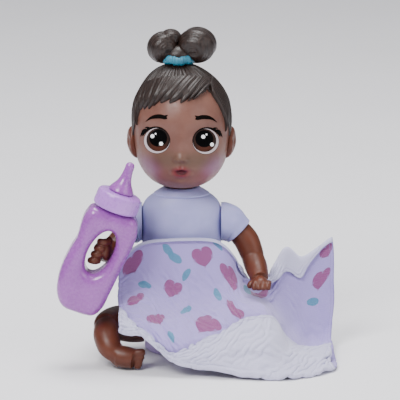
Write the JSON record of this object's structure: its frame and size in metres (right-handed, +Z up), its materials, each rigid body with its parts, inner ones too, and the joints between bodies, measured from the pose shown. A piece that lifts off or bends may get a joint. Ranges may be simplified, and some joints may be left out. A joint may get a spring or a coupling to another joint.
{
  "type": "interactive baby doll",
  "caption": "Seated mini baby doll with moulded hair buns, holding a feeding bottle, a printed blanket over its lap; head, arms and legs turn, bottle and blanket come away.",
  "frame": {"origin": "middle of the flat seat under the body, on the doll's mid-plane", "axes": "+Z up out of the head, -Y the way the doll faces, +X to the doll's left"},
  "size_m": [0.1047, 0.0675, 0.1254],
  "materials": {
    "shirt_white": "satin",
    "pants_lilac": "satin",
    "skin_brown": "satin",
    "hair_dark": "satin",
    "tie_teal": "satin",
    "bottle_purple": "gloss",
    "blanket_print": "woven",
    "plated_metal": "satin",
    "black_plastic": "matte",
    "board_green": "matte",
    "lip_rose": "satin",
    "inner_plastic": "matte"
  },
  "bodies": {
    "torso": {"seat_shell": "pants_lilac", "torso_front_shell": "shirt_white", "torso_back_shell": "shirt_white", "neck_post": "skin_brown", "battery_box": "black_plastic", "button_cell_1": "plated_metal", "button_cell_2": "plated_metal", "button_cell_3": "plated_metal", "spring_contact": "plated_metal", "plate_contact": "plated_metal", "circuit_board": "board_green", "control_chip": "black_plastic", "tilt_switch": "plated_metal", "speaker": "plated_metal", "speaker_retainer": "black_plastic", "switch_base": "plated_metal", "case_screw_1": "plated_metal", "case_screw_2": "plated_metal", "case_screw_3": "plated_metal", "case_screw_4": "plated_metal"},
    "head": {"head_shell": "skin_brown", "hair_cap": "hair_dark", "hair_tie": "tie_teal", "bun_left": "hair_dark", "bun_right": "hair_dark", "mouth_insert": "lip_rose", "mouth_switch": "black_plastic", "neck_retainer": "inner_plastic"},
    "arm_right_body": {"sleeve_right": "shirt_white", "arm_right": "skin_brown", "shoulder_peg_right": "inner_plastic"},
    "arm_left_body": {"sleeve_left": "shirt_white", "arm_left": "skin_brown", "shoulder_peg_left": "inner_plastic"},
    "leg_right_body": {"leg_right": "skin_brown", "hip_peg_right": "inner_plastic"},
    "leg_left_body": {"leg_left": "skin_brown", "hip_peg_left": "inner_plastic"},
    "bottle": {"bottle_body": "bottle_purple", "bottle_collar": "bottle_purple", "bottle_nipple": "bottle_purple", "bottle_magnet": "plated_metal"},
    "battery_cover": {"battery_door": "shirt_white", "battery_door_screw": "plated_metal"},
    "power_switch": {"power_switch_knob": "pants_lilac"},
    "cover_blanket": {"blanket": "blanket_print"}
  },
  "joints": [
    {"name": "neck_turn", "type": "hinge", "parent": "torso", "child": "head", "pos_m": [0, 0, 0.064], "axis": [0, 0, 1], "range_deg": [-60, 60]},
    {"name": "shoulder_right", "type": "hinge", "parent": "torso", "child": "arm_right_body", "pos_m": [-0.0153, 0, 0.0505], "axis": [1, 0, 0], "range_deg": [-18, 0]},
    {"name": "shoulder_left", "type": "hinge", "parent": "torso", "child": "arm_left_body", "pos_m": [0.0153, 0, 0.0505], "axis": [1, 0, 0], "range_deg": [-120, 0]},
    {"name": "hip_right", "type": "hinge", "parent": "torso", "child": "leg_right_body", "pos_m": [-0.0143, 0, 0.0105], "axis": [1, 0, 0], "range_deg": [0, 85]},
    {"name": "hip_left", "type": "hinge", "parent": "torso", "child": "leg_left_body", "pos_m": [0.0143, 0, 0.0105], "axis": [1, 0, 0], "range_deg": [0, 85]},
    {"name": "bottle_pull", "type": "slide", "parent": "arm_right_body", "child": "bottle", "axis": [0, -1, 0], "range_m": [0, 0.025]},
    {"name": "battery_cover_lift", "type": "slide", "parent": "torso", "child": "battery_cover", "axis": [0, 1, 0], "range_m": [0, 0.012]},
    {"name": "power_switch_slide", "type": "slide", "parent": "torso", "child": "power_switch", "axis": [0, 0, 1], "range_m": [0, 0.003]},
    {"name": "blanket_pull", "type": "slide", "parent": "torso", "child": "cover_blanket", "axis": [-0.0988, 0.988, -0.1186], "range_m": [-0.04, 0]}
  ]
}
